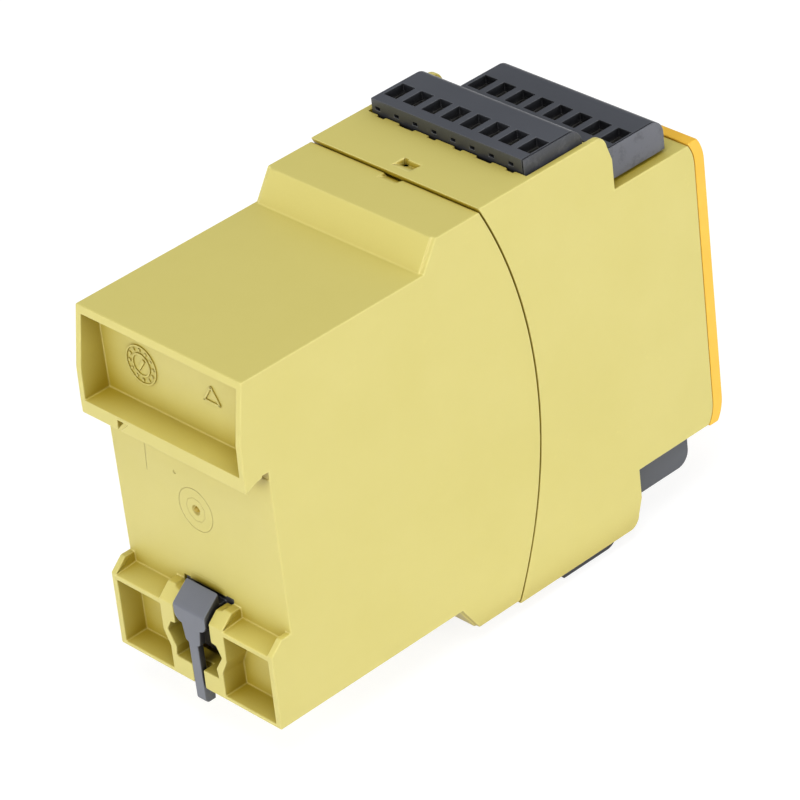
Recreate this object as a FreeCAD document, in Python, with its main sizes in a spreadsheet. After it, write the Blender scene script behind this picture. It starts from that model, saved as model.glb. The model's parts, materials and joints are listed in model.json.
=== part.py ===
"""Safety relay for a 35 mm top-hat rail, 45 mm wide, with four plug-in terminal blocks.

The origin is on the flat rail seat, at the middle of the rail.  +Y points to the rail and the
panel behind it, -Y to the indicators on the front, +X and -X to the neighbours on the rail.
The enclosure is built about its own middle plane and then raised by case_rise, because the
rail runs a little below the middle of the enclosure.
"""
import FreeCAD, Part
import math
import os
import Sketcher

doc = FreeCAD.newDocument("SafetyRelay")

# ---------------------------------------------------------------------------------------------
# Driving dimensions, in millimetres.  y values are places along the depth (0 at the rail seat,
# negative towards the front); z values are heights above the middle of the enclosure.  A size
# that follows from others is a formula.
# ---------------------------------------------------------------------------------------------
DIMENSIONS = [
    # enclosure as a whole
    ("width", 45.0, "overall width"),
    ("wall", 1.4, "thickness of the side walls"),
    ("skin", 1.5, "thickness of the top, bottom and cross walls"),
    ("case_rise", 0.9, "middle of the enclosure above the middle of the rail"),
    ("clearance", 0.3, "running gap round the pieces that move"),
    ("seam_gap", 0.35, "joint line between the two half shells"),
    # rear shell
    ("tail_half", 37.4, "half height of the low rear part"),
    ("body_half", 43.3, "half height of the middle part, rear shell"),
    ("step_rear_y", -41.4, "rear end of the slanted steps"),
    ("step_front_y", -45.2, "front end of the slanted steps"),
    ("step_margin", 0.9, "width of the sunk margins beside the slanted steps"),
    ("step_margin_depth", 0.45, "depth of those margins"),
    ("seam_y", -56.4, "seam between the shells, at the top and the bottom"),
    ("seam_bulge", 10.4, "how far the seam swings forward at mid height"),
    ("seat_wall", 2.0, "thickness of the rail seat wall"),
    # hook over the top of the rail
    ("rail_height", 35.0, "height of the rail"),
    ("rail_play", 0.2, "gap between the rail and the hook"),
    ("hook_top_y", 3.2, "rear end of the top face"),
    ("hook_knee_y", 5.4, "rear face where the slope ends"),
    ("hook_knee_z", 24.9, "height where the slope ends"),
    ("hook_rear_y", 5.6, "rear face of the lip"),
    ("hook_lip_z", 15.0, "lowest edge of the lip"),
    ("seat_relief", 0.2, "depth of the relief under the hook"),
    ("hook_groove", 1.4, "depth of the groove that takes the rail's edge"),
    ("hook_round_y", 3.0, "where the lip's underside turns down"),
    ("hook_round_z", 16.1, "height of that turn"),
    ("pocket_back_y", -0.5, "back wall of the moulded pocket above the hook"),
    ("pocket_floor_z", 18.1, "floor of that pocket"),
    ("pocket_rim", 1.7, "thickness of the pocket's top rim"),
    ("lip_notch_x", 12.4, "right corner of the three-cornered notch in the lip"),
    ("lip_notch_width", 3.0, "width of that notch"),
    ("lip_notch_top", 17.2, "top of that notch"),
    ("lip_notch_drop", 2.6, "height of that notch"),
    # foot under the rail
    ("foot_top_z", -18.65, "top of the foot"),
    ("foot_bevel_top_y", 2.4, "front end of the foot's bevel"),
    ("foot_bevel_y", 5.2, "rear end of the foot's bevel"),
    ("foot_bevel_z", -21.2, "lower end of the foot's bevel"),
    ("foot_rear_y", 5.4, "rear face of the foot"),
    ("shelf_front_z", -20.9, "shelf at the seat wall"),
    ("shelf_rear_z", -21.5, "shelf at the rear face"),
    ("shelf_under_z", -22.5, "underside of the shelf"),
    ("foot_floor", 0.8, "thickness of the foot's bottom wall"),
    ("cheek_outer", 8.85, "outer face of the latch cheeks"),
    ("cheek_foot", 7.3, "outer face of the latch cheeks at the bottom"),
    ("cheek_bend_z", -28.3, "where the cheeks' outer face starts to lean in"),
    ("cheek_low_z", -31.4, "where it ends"),
    ("cheek_inner", 5.0, "inner face of the latch cheeks"),
    ("cheek_mouth", 7.1, "half width between the cheeks at the top"),
    ("cheek_mouth_z", -18.2, "top of the cheeks"),
    ("cheek_step", 6.5, "outer end of the step below the mouth"),
    ("cheek_step_z", -19.0, "height of that step"),
    ("notch_top_z", -25.4, "top of the detent notch in each cheek"),
    ("notch_step", 1.35, "depth of the notch's upper shoulder"),
    ("notch_deep", 7.6, "deepest point of the notch, from the middle"),
    ("notch_deep_z", -27.8, "height of the deepest point"),
    ("bridge_height", 4.2, "height of the bridge across the bottom of the channel"),
    ("bridge_top_z", "=bridge_height - tail_half", "top of the bridge"),
    ("notch_low", 5.6, "end of the notch, from the middle"),
    ("notch_low_share", 0.41, "place of that end, from the bridge to the deepest point"),
    ("notch_low_z", "=bridge_top_z + notch_low_share * (notch_deep_z - bridge_top_z)",
     "height of the end"),
    ("bridge_half", 5.9, "half width of the channel at the bridge"),
    ("guide_front_y", -4.6, "front wall of the latch's guide"),
    ("guide_half", 6.9, "half width of the latch's guide"),
    ("guide_top_z", -17.8, "top of the latch's guide"),
    ("guide_floor", 1.2, "thickness of the bottom wall under the latch's guide"),
    ("guide_low_z", "=guide_floor - tail_half", "bottom of the latch's guide"),
    # latch
    ("latch_travel", 3.0, "stroke of the latch"),
    ("latch_head_half", 4.4, "half width of the head"),
    ("latch_rail_y", 1.4, "front face of the head, just behind the rail's edge"),
    ("latch_top_z", -16.7, "top edge of the head"),
    ("latch_ramp_z", -19.9, "lower end of the head's ramp"),
    ("latch_rear_y", 5.6, "rear face of the latch"),
    ("latch_plate", 1.5, "thickness of the stem"),
    ("latch_base_z", "=guide_low_z + latch_travel + clearance", "lower end of the base plate"),
    ("latch_web_z", -19.1, "top of the web under the rail's edge"),
    ("latch_head_z", -22.0, "lower end of the head"),
    ("latch_neck_half", 2.5, "half width where the neck starts"),
    ("latch_neck_z", -23.9, "height where the neck starts"),
    ("latch_neck_round", 1.95, "radius between the head and the neck"),
    ("latch_ledge_half", 2.0, "half width of the small ledge"),
    ("latch_ledge_z", -27.4, "height of the small ledge"),
    ("latch_ledge_drop", 0.4, "slope of the ledge's underside"),
    ("latch_stem_half", 1.25, "half width of the stem"),
    ("latch_tab_y", 3.0, "front end of the pull tab's foot"),
    ("latch_tab_gap", 0.6, "distance of the pull tab below the enclosure"),
    ("latch_tab_top_z", "=-tail_half - latch_tab_gap", "top of the pull tab"),
    ("latch_tab_height", 3.1, "height of the pull tab"),
    ("latch_tab_z", "=latch_tab_top_z - latch_tab_height", "underside of the pull tab"),
    ("latch_tab_foot", 1.2, "thickness of the pull tab's foot"),
    ("latch_tab_bevel", 0.7, "bevels of the pull tab"),
    # front shell
    ("shell_step", 0.8, "how far the front shell stands above the rear shell"),
    ("front_half", "=body_half + shell_step", "half height of the front shell"),
    ("peak_y", -88.0, "where the side walls start to round off"),
    ("peak_low_y", -90.4, "end of that round"),
    ("peak_drop", 2.6, "height of that round"),
    ("peak_low_z", "=front_half - peak_drop", "height at the end of that round"),
    ("peak_round", 2.9, "radius of that round"),
    ("notch_edge_y", -91.5, "front edge of the tall side walls"),
    ("notch_edge_drop", 5.9, "distance below the top where that edge turns vertical"),
    ("notch_edge_z", "=front_half - notch_edge_drop", "height where it turns vertical"),
    ("nose_drop", 12.4, "distance of the front box below the top"),
    ("nose_half", "=front_half - nose_drop", "half height of the front box"),
    ("nose_top_y", -111.6, "where the front box starts to round off"),
    ("nose_y", -113.05, "front face of the front box"),
    ("nose_round_drop", 4.7, "height of that round"),
    ("nose_round_z", "=nose_half - nose_round_drop", "height where that round ends"),
    ("nose_round", 8.4, "radius of that round"),
    ("cover_top_y", -114.15, "front end of the cover's top face"),
    ("cover_step", 0.4, "how far the cover stands above the front box"),
    ("cover_half", "=nose_half + cover_step", "half height of the cover"),
    ("cover_y", -115.75, "front face of the cover"),
    ("cover_round_z", "=nose_round_z", "height where the cover's round ends"),
    ("cover_round", 9.2, "radius of the cover's round"),
    ("cover_gap", 0.1, "joint line between the cover and the front shell"),
    ("label_inset", 4.0, "margin of the sunk label field on the cover"),
    ("label_sink", 0.3, "depth of the label field"),
    # snap windows on the shells
    ("snap_width", 4.6, "width of the snap windows"),
    ("snap_length", 3.2, "length of the snap window in the front shell"),
    ("snap_offset", 2.2, "distance of that window from the seam"),
    ("snap_half_length", 2.1, "length of the snap window at the seam"),
    ("snap_depth", 1.4, "depth of the snap windows"),
    # terminal plugs
    ("poles", 8, "poles on each plug"),
    ("plug_height", 6.8, "height of a plug"),
    ("plug_depth", 15.3, "depth of a plug"),
    ("plug_deck", 12.4, "depth of the flat deck"),
    ("plug_round", 3.1, "radius of the plug's front edge"),
    ("plug_trim", 0.25, "how much shorter a plug is at each end than its row of poles"),
    ("end_plate", 0.5, "thickness of the end plate"),
    ("plug_shift", 0.1, "distance of the plugs' middle from the enclosure's"),
    ("plug_room", 0.78, "room between the row of poles and each side wall"),
    ("pitch", "=(width - 2 * (wall + plug_room)) / poles", "distance between poles"),
    ("rear_seat_y", -70.6, "wall behind the rear plugs"),
    ("rear_seat_drop", 4.2, "distance of the rear plugs' floor below the top"),
    ("rear_seat_z", "=front_half - rear_seat_drop", "floor under the rear plugs"),
    ("front_seat_y", -91.9, "face behind the front plugs"),
    ("front_seat_gap", 0.7, "gap under the front plugs, so that they pass over the cover"),
    ("plug_gap", 0.2, "gap between a plug and the wall behind it"),
    ("well_rear", 2.6, "rear edge of the wire wells, from the plug's rear face"),
    ("well_length", 5.1, "length of the wire wells"),
    ("well_width", 2.9, "width of the wire wells"),
    ("well_depth", 5.6, "depth of the wire wells"),
    ("well_ledge", 0.6, "ledge beside each well"),
    ("well_ledge_depth", 0.4, "depth of that ledge"),
    ("screw_head", 3.5, "diameter of the terminal screws' heads"),
    ("screw_head_height", 1.8, "height of the heads"),
    ("screw_recess", 0.7, "how far the heads lie back"),
    ("screw_thread", 2.0, "diameter of the screws' shanks"),
    ("screw_height", 2.6, "height of the screws above the plug's underside"),
    ("screw_gap", 0.02, "gap between the screws' tips and the clamps"),
    ("screw_clearance", 0.15, "gap round the heads"),
    ("thread_fit", 0.03, "gap round the shanks and the pins in their sockets"),
    ("clamp_wall", 0.4, "thickness of the clamps"),
    ("clamp_height", 3.6, "height of the clamps"),
    ("clamp_play", 0.05, "gap round the clamps"),
    ("test_slot_width", 1.3, "width of the test slots"),
    ("test_slot_height", 0.7, "height of the test slots"),
    ("test_slot_shift", 0.7, "distance of the test slots beside the poles"),
    ("test_slot_z", 4.9, "height of the test slots above the plug's underside"),
    ("test_slot_depth", 1.2, "depth of the test slots"),
    ("comb_depth", 0.6, "depth of the comb that faces the rear plugs"),
    ("comb_margin", 0.4, "ends of the comb, from the side walls"),
    ("comb_pitch", "=(width - 2 * (wall + comb_margin)) / 6", "distance between its gaps"),
    ("comb_narrow", 2.0, "width of its narrow gaps"),
    ("comb_wide", 4.0, "width of its wide gaps"),
    # pins and headers
    ("pin", 1.0, "width of the pins"),
    ("pin_height", 1.4, "height of the pins above a plug's underside"),
    ("pin_reach", 2.2, "how far the pins reach into a plug"),
    ("pin_tail", 2.6, "how far the pins stand out behind their board"),
    ("socket", 1.6, "width of the sockets that the pins enter"),
    ("contact_wall", 0.25, "thickness of the contacts"),
    ("header_height", 1.9, "height of the header strips"),
    ("header_margin", 0.52, "how far the header strips end inside the row of poles"),
    ("header_half", "=poles * pitch / 2 - header_margin", "half length of the header strips"),
    # boards and what they carry
    ("board", 1.6, "thickness of the circuit boards"),
    ("rear_board_y", -66.0, "rear face of the board behind the rear plugs"),
    ("front_board_y", -86.6, "rear face of the board behind the front plugs"),
    ("main_board_x", -15.0, "inner face of the main board"),
    ("main_board_rear_y", -8.0, "rear edge of the main board"),
    ("relay_length", 40.0, "length of a force-guided relay"),
    ("relay_height", 24.5, "height of a relay above its board"),
    ("relay_pitch", "=2 * tail_half / 5", "distance between relays"),
    ("relay_gap", 2.0, "gap between relays"),
    ("relay_thick", "=relay_pitch - relay_gap", "thickness of a relay"),
    ("relay_rear_y", -14.0, "rear end of the relays"),
    ("relay_floor", 6.4, "height of the lowest relay above the enclosure's underside"),
    ("relay_low_z", "=relay_floor - tail_half", "underside of the lowest relay"),
    ("core_margin", 1.0, "how much narrower the core is than a relay's place"),
    ("core_width", "=relay_pitch - core_margin", "width of the transformer core"),
    ("core_length", 28.0, "length of the transformer core"),
    ("core_height", 25.0, "height of the transformer core above its board"),
    ("core_gap", 2.6, "distance of the core above the relays' places"),
    ("core_low_z", "=relay_low_z + 3 * relay_pitch + core_gap", "underside of the core"),
    ("core_leg", 5.0, "width of the core's legs"),
    ("winding_play", 0.2, "gap round the winding"),
    ("capacitor", 8.0, "diameter of the capacitors"),
    ("capacitor_height", 12.0, "height of the capacitors"),
    ("led", 2.8, "width of the status indicators"),
    ("led_height", 2.0, "height of the indicators above their board"),
    ("led_spacing", 8.0, "distance between indicators"),
    ("led_z", 10.0, "height of the row of indicators"),
    ("led_board_y", -107.4, "rear face of the indicator board"),
    ("led_board_half", 12.0, "half width of the indicator board"),
    ("led_board_height", 12.0, "height of the indicator board"),
    ("post", 4.0, "width of the posts that carry the indicator board"),
    ("lens", 3.4, "diameter of the indicator lenses"),
    ("lens_proud", 0.2, "how far the lenses stand out of the cover"),
    ("link_drop", 25.0, "distance of those pins below the middle"),
    ("link_pins", 10, "pins between neighbouring boards"),
    ("link_pitch", 2.54, "distance between those pins"),
    ("link_pin", 0.64, "width of those pins"),
]

dim = doc.addObject("Spreadsheet::Sheet", "dim")
for row_number, (alias, size, meaning) in enumerate(DIMENSIONS, start=1):
    dim.set(f"A{row_number}", str(size))
    dim.set(f"B{row_number}", meaning)
    dim.setAlias(f"A{row_number}", alias)
doc.recompute()


# ---------------------------------------------------------------------------------------------
# Tools for the bodies
# ---------------------------------------------------------------------------------------------
def number(expression):
    """Value of an expression over the sheet."""
    return float(dim.evalExpression(str(expression)))


def new_body(label):
    body = doc.addObject("PartDesign::Body", label)
    body.Label = label
    return body


def place(body, x="0", y="0", z="0", turned=False):
    """Put a body in the frame; turned swaps top and bottom by half a turn about Y."""
    half_turn = FreeCAD.Rotation(FreeCAD.Vector(0, 1, 0), 180 if turned else 0)
    body.Placement = FreeCAD.Placement(FreeCAD.Vector(), half_turn)
    body.setExpression("Placement.Base.x", x)
    body.setExpression("Placement.Base.y", y)
    body.setExpression("Placement.Base.z", f"dim.case_rise + ({z})")


def plane_sketch(body, role, shift="0"):
    """Sketch on one of the body's own planes, moved along the plane's normal."""
    origin_plane = next(item for item in body.Origin.OriginFeatures if item.Role == role)
    sketch = body.newObject("Sketcher::SketchObject", f"{body.Name}_sketch")
    sketch.AttachmentSupport = (origin_plane, [""])
    sketch.MapMode = "FlatFace"
    sketch.setExpression("AttachmentOffset.Base.z", shift)
    return sketch


def side_sketch(body, shift="0"):
    """Seen from +X: the sketch's axes are Y and Z, its normal is +X."""
    return plane_sketch(body, "YZ_Plane", shift)


def face_sketch(body, y="0"):
    """Seen from the front: the sketch's axes are X and Z, its normal is -Y."""
    return plane_sketch(body, "XZ_Plane", f"-({y})")


def plan_sketch(body, z="0"):
    """Seen from above: the sketch's axes are X and Y, its normal is +Z."""
    return plane_sketch(body, "XY_Plane", z)


def bind(sketch, kind, geometry, point, expression):
    """Tie one coordinate of a point to the sheet."""
    value = number(expression)
    index = sketch.addConstraint(Sketcher.Constraint(kind, -1, 1, geometry, point, value))
    sketch.setExpression(f"Constraints[{index}]", str(expression))


def arc_between(start, end, radius, side):
    """Arc from start to end that bulges to the left (side 1) or right (side -1) of travel."""
    chord = end - start
    half = chord.Length / 2
    sagitta = radius - math.sqrt(max(radius ** 2 - half ** 2, 0.0))
    left = FreeCAD.Vector(-chord.y, chord.x, 0).normalize()
    middle = (start + end) * 0.5 + left * (side * sagitta)
    return Part.ArcOfCircle(start, middle, end)


def outline(sketch, corners):
    """Closed outline.  A corner is (x, y) or, where an arc leaves it, (x, y, radius, side)."""
    places = [FreeCAD.Vector(number(c[0]), number(c[1]), 0) for c in corners]
    ends = []
    for index, corner in enumerate(corners):
        start = places[index]
        end = places[(index + 1) % len(corners)]
        if len(corner) == 2:
            edge = sketch.addGeometry(Part.LineSegment(start, end))
            first, last = 1, 2
        else:
            edge = sketch.addGeometry(arc_between(start, end, number(corner[2]), corner[3]))
            starts_here = sketch.getPoint(edge, 1).distanceToPoint(start) < 1e-6
            first, last = (1, 2) if starts_here else (2, 1)
        ends.append((edge, first, last))
    for index, (edge, first, last) in enumerate(ends):
        following = ends[(index + 1) % len(ends)]
        sketch.addConstraint(Sketcher.Constraint("Coincident", edge, last, following[0], following[1]))
    for (edge, first, last), corner in zip(ends, corners):
        bind(sketch, "DistanceX", edge, first, corner[0])
        bind(sketch, "DistanceY", edge, first, corner[1])
        if len(corner) > 2:
            index = sketch.addConstraint(Sketcher.Constraint("Radius", edge, number(corner[2])))
            sketch.setExpression(f"Constraints[{index}]", corner[2])


def box_outline(sketch, x_low, x_high, y_low, y_high):
    outline(sketch, [(x_low, y_low), (x_high, y_low), (x_high, y_high), (x_low, y_high)])


def polygon(sketch, x, y, diameter, sides):
    """Regular many-sided outline, as wide across its flats as the diameter."""
    reach = 0.5 / math.cos(math.pi / sides)
    corners = []
    for index in range(sides):
        angle = math.pi * (2 * index + 1) / sides
        corners.append((f"{x} + ({diameter}) * {reach * math.cos(angle):.6f}",
                        f"{y} + ({diameter}) * {reach * math.sin(angle):.6f}"))
    outline(sketch, corners)


def extrude(body, kind, sketch, length, way):
    feature = body.newObject(f"PartDesign::{kind}", f"{body.Name}_{kind}")
    feature.Profile = sketch
    feature.setExpression("Length", length)
    if way == "both":
        feature.Midplane = True
    # a pad follows the sketch's normal and a pocket runs against it
    feature.Reversed = (way == "back") if kind == "Pad" else (way == "forward")
    doc.recompute()
    return feature


def pad(body, sketch, length, way="forward"):
    """Add material: both sides of the sketch, forward along its normal, or back."""
    return extrude(body, "Pad", sketch, length, way)


def cut(body, sketch, length, way="both"):
    """Take material away, and make sure that the cut met the body."""
    before = body.Shape.Volume
    feature = extrude(body, "Pocket", sketch, length, way)
    if body.Shape.Volume > before - 1e-6:
        raise RuntimeError(f"a cut in {body.Label} removes nothing")
    return feature


def repeat(body, features, sketch, spacing, count):
    """Repeat features along the sketch's horizontal axis."""
    pattern = body.newObject("PartDesign::LinearPattern", f"{body.Name}_row")
    pattern.Originals = features
    pattern.Direction = (sketch, ["H_Axis"])
    pattern.setExpression("Length", f"({spacing}) * (({count}) - 1)")
    pattern.setExpression("Occurrences", str(count))
    body.Tip = pattern
    doc.recompute()
    return pattern


def mirror(body, features, role):
    """Mirror features about one of the body's own planes."""
    origin_plane = next(item for item in body.Origin.OriginFeatures if item.Role == role)
    mirrored = body.newObject("PartDesign::Mirrored", f"{body.Name}_mirror")
    mirrored.Originals = features
    mirrored.MirrorPlane = (origin_plane, [""])
    body.Tip = mirrored
    doc.recompute()
    return mirrored


def block(label, x_low, x_high, y_low, y_high, z_low, z_high):
    """Plain rectangular piece, given by its faces."""
    body = new_body(label)
    sketch = plan_sketch(body, z_low)
    box_outline(sketch, x_low, x_high, y_low, y_high)
    pad(body, sketch, f"({z_high}) - ({z_low})")
    place(body)
    return body


INNER_HALF = "dim.width / 2 - dim.wall"
INNER_WIDTH = "dim.width - 2 * dim.wall"
SEAM_RADIUS = "(dim.front_half ^ 2 + dim.seam_bulge ^ 2) / (2 * dim.seam_bulge)"
HOOK_TOP = "dim.rail_height / 2 + dim.rail_play - dim.case_rise"
FIRST_POLE = "-(dim.poles - 1) * dim.pitch / 2"
PLUG_END = "(dim.poles * dim.pitch / 2 - dim.plug_trim)"
TOP_AND_BOTTOM = ((1, "top"), (-1, "bottom"))
COMB_GAPS = ("comb_narrow", "comb_wide", "comb_narrow", "comb_narrow", "comb_wide", "comb_narrow")


# ---------------------------------------------------------------------------------------------
# Rear shell: low tail with the rail hook, seat wall and foot, opening to the front at the seam
# ---------------------------------------------------------------------------------------------
def rear_seam(inset):
    """Where the rear shell's seam meets a height: the seam is one arc about the middle."""
    height = f"(dim.body_half - ({inset}))"
    drop = f"{SEAM_RADIUS} - sqrt(({SEAM_RADIUS}) ^ 2 - {height} ^ 2)"
    return f"dim.seam_y - dim.seam_bulge + {drop}"


def rear_outline():
    hook = [
        ("dim.hook_top_y", "dim.tail_half"),
        ("dim.hook_knee_y", "dim.hook_knee_z"),
        ("dim.hook_rear_y", "dim.pocket_floor_z"),
        ("dim.hook_rear_y", "dim.hook_lip_z"),
        ("dim.hook_round_y", "dim.hook_round_z"),
        ("dim.hook_groove", f"({HOOK_TOP}) - 0.4"),
        ("dim.hook_groove", HOOK_TOP),
        ("0", HOOK_TOP),
    ]
    foot = [
        ("0", "dim.foot_top_z"),
        ("dim.foot_bevel_top_y", "dim.foot_top_z"),
        ("dim.foot_bevel_y", "dim.foot_bevel_z"),
        ("dim.foot_rear_y", "-dim.tail_half"),
    ]
    steps_bottom = [
        ("dim.step_rear_y", "-dim.tail_half"),
        ("dim.step_front_y", "-dim.body_half"),
    ]
    seam = [
        (rear_seam("0"), "-dim.body_half", SEAM_RADIUS, 1),
        (rear_seam("0"), "dim.body_half"),
    ]
    steps_top = [
        ("dim.step_front_y", "dim.body_half"),
        ("dim.step_rear_y", "dim.tail_half"),
    ]
    return hook + foot + steps_bottom + seam + steps_top


def rear_cavity():
    """Inside of the rear shell, open at the seam."""
    low = "dim.tail_half - dim.skin"
    high = "dim.body_half - dim.skin"
    past_seam = "dim.seam_y - dim.seam_bulge - 1"
    return [
        ("-dim.seat_wall", low),
        ("-dim.seat_wall", f"-({low})"),
        ("dim.step_rear_y", f"-({low})"),
        ("dim.step_front_y", f"-({high})"),
        (past_seam, f"-({high})"),
        (past_seam, high),
        ("dim.step_front_y", high),
        ("dim.step_rear_y", low),
    ]


def latch_channel():
    """Opening between the cheeks, seen from the rear, with a detent notch in each cheek."""
    right = [
        ("dim.cheek_mouth", "dim.cheek_mouth_z + 1"),
        ("dim.cheek_mouth", "dim.cheek_mouth_z"),
        ("dim.cheek_step", "dim.cheek_step_z"),
        ("dim.cheek_inner", "dim.cheek_step_z - 0.1"),
        ("dim.cheek_inner", "dim.notch_top_z"),
        ("dim.cheek_inner + dim.notch_step", "dim.notch_top_z - 0.2"),
        ("dim.notch_deep", "dim.notch_deep_z"),
        ("dim.notch_low", "dim.notch_low_z"),
        ("dim.bridge_half", "dim.bridge_top_z"),
    ]
    left = [(f"-({x})", z) for x, z in reversed(right)]
    return right + left


def build_rear_housing():
    body = new_body("rear_housing")
    shell = side_sketch(body)
    outline(shell, rear_outline())
    pad(body, shell, "dim.width", "both")

    cavity = side_sketch(body)
    outline(cavity, rear_cavity())
    cut(body, cavity, INNER_WIDTH)

    # closed guide for the latch, behind the seat wall
    guide = face_sketch(body, "-dim.seat_wall / 2")
    guide_wall = "dim.guide_half + dim.skin"
    box_outline(guide, f"-({guide_wall})", guide_wall, "-dim.tail_half + dim.skin / 2",
                "dim.guide_top_z + dim.skin")
    pad(body, guide, "-dim.guide_front_y + dim.skin - dim.seat_wall / 2")
    chamber = face_sketch(body, "0")
    box_outline(chamber, "-dim.guide_half", "dim.guide_half", "dim.guide_low_z", "dim.guide_top_z")
    cut(body, chamber, "-dim.guide_front_y", "forward")

    # relief behind the latch's head and under the hook, so that only flat wall meets the rail
    head_relief = face_sketch(body, "0")
    relief_half = "dim.latch_head_half + dim.clearance"
    box_outline(head_relief, f"-({relief_half})", relief_half, "dim.guide_top_z - 1",
                "dim.latch_top_z + dim.clearance")
    cut(body, head_relief, "-dim.guide_front_y", "forward")
    hook_relief = side_sketch(body)
    box_outline(hook_relief, "-dim.seat_relief", "dim.hook_groove", "dim.hook_lip_z - 0.1", HOOK_TOP)
    cut(body, hook_relief, "dim.width + 1")

    # moulded pocket above the hook
    pocket = side_sketch(body)
    box_outline(pocket, "dim.pocket_back_y", "dim.hook_rear_y + 1", "dim.pocket_floor_z",
                "dim.tail_half - dim.pocket_rim")
    cut(body, pocket, INNER_WIDTH)

    # shelf and open pocket of the foot, one side and its mirror image
    shelf = side_sketch(body, "dim.cheek_outer")
    outline(shelf, [
        ("0", "dim.foot_top_z + 1"),
        ("0", "dim.shelf_front_z"),
        ("dim.foot_rear_y + 1", "dim.shelf_rear_z"),
        ("dim.foot_rear_y + 1", "dim.foot_top_z + 1"),
    ])
    above_shelf = cut(body, shelf, f"{INNER_HALF} - dim.cheek_outer", "forward")
    bay = face_sketch(body, "0")
    outline(bay, [
        ("dim.cheek_outer", "dim.shelf_under_z"),
        (INNER_HALF, "dim.shelf_under_z"),
        (INNER_HALF, "-dim.tail_half + dim.foot_floor"),
        ("dim.cheek_foot", "-dim.tail_half + dim.foot_floor"),
        ("dim.cheek_foot", "dim.cheek_low_z"),
        ("dim.cheek_outer", "dim.cheek_bend_z"),
    ])
    open_bay = cut(body, bay, "dim.foot_rear_y + 1", "back")
    mirror(body, [above_shelf, open_bay], "YZ_Plane")

    # channel between the cheeks and the slot for the latch's stem
    channel = face_sketch(body, "0")
    outline(channel, latch_channel())
    cut(body, channel, "dim.foot_rear_y + 1", "back")
    slot_half = "dim.latch_stem_half + dim.clearance"
    slot = face_sketch(body, "dim.latch_tab_y - dim.clearance")
    box_outline(slot, f"-({slot_half})", slot_half, "-dim.tail_half - 1", "dim.bridge_top_z + 1")
    cut(body, slot, "dim.foot_rear_y + 1", "back")

    # three-cornered notch through the lip
    notch = face_sketch(body, "dim.hook_round_y")
    outline(notch, [
        ("dim.lip_notch_x", "dim.lip_notch_top"),
        ("dim.lip_notch_x", "dim.lip_notch_top - dim.lip_notch_drop"),
        ("dim.lip_notch_x - dim.lip_notch_width", "dim.lip_notch_top"),
    ])
    cut(body, notch, "dim.hook_rear_y", "back")

    # sunk margins beside the slanted steps
    margins = []
    for sign, _ in TOP_AND_BOTTOM:
        margin = side_sketch(body, "dim.width / 2 - dim.step_margin")
        outline(margin, [
            ("dim.step_rear_y + 1", f"{sign} * dim.tail_half"),
            ("dim.step_rear_y - dim.step_margin_depth", f"{sign} * dim.tail_half"),
            ("dim.step_front_y - dim.step_margin_depth", f"{sign} * dim.body_half"),
            ("dim.step_front_y - dim.step_margin_depth", f"{sign} * (dim.body_half + 1)"),
            ("dim.step_rear_y + 1", f"{sign} * (dim.body_half + 1)"),
        ])
        margins.append(cut(body, margin, "dim.step_margin + 1", "forward"))
    mirror(body, margins, "YZ_Plane")

    # snap windows that open at the seam, each with a sloping floor
    for sign, _ in TOP_AND_BOTTOM:
        window = side_sketch(body)
        outline(window, [
            (f"{rear_seam('0')} + dim.snap_half_length", f"{sign} * dim.body_half"),
            (f"{rear_seam('0')} - 2", f"{sign} * (dim.body_half - dim.snap_depth)"),
            (f"{rear_seam('0')} - 2", f"{sign} * (dim.body_half + 1)"),
            (f"{rear_seam('0')} + dim.snap_half_length", f"{sign} * (dim.body_half + 1)"),
        ])
        cut(body, window, "dim.snap_width")
    place(body)
    return body


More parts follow.
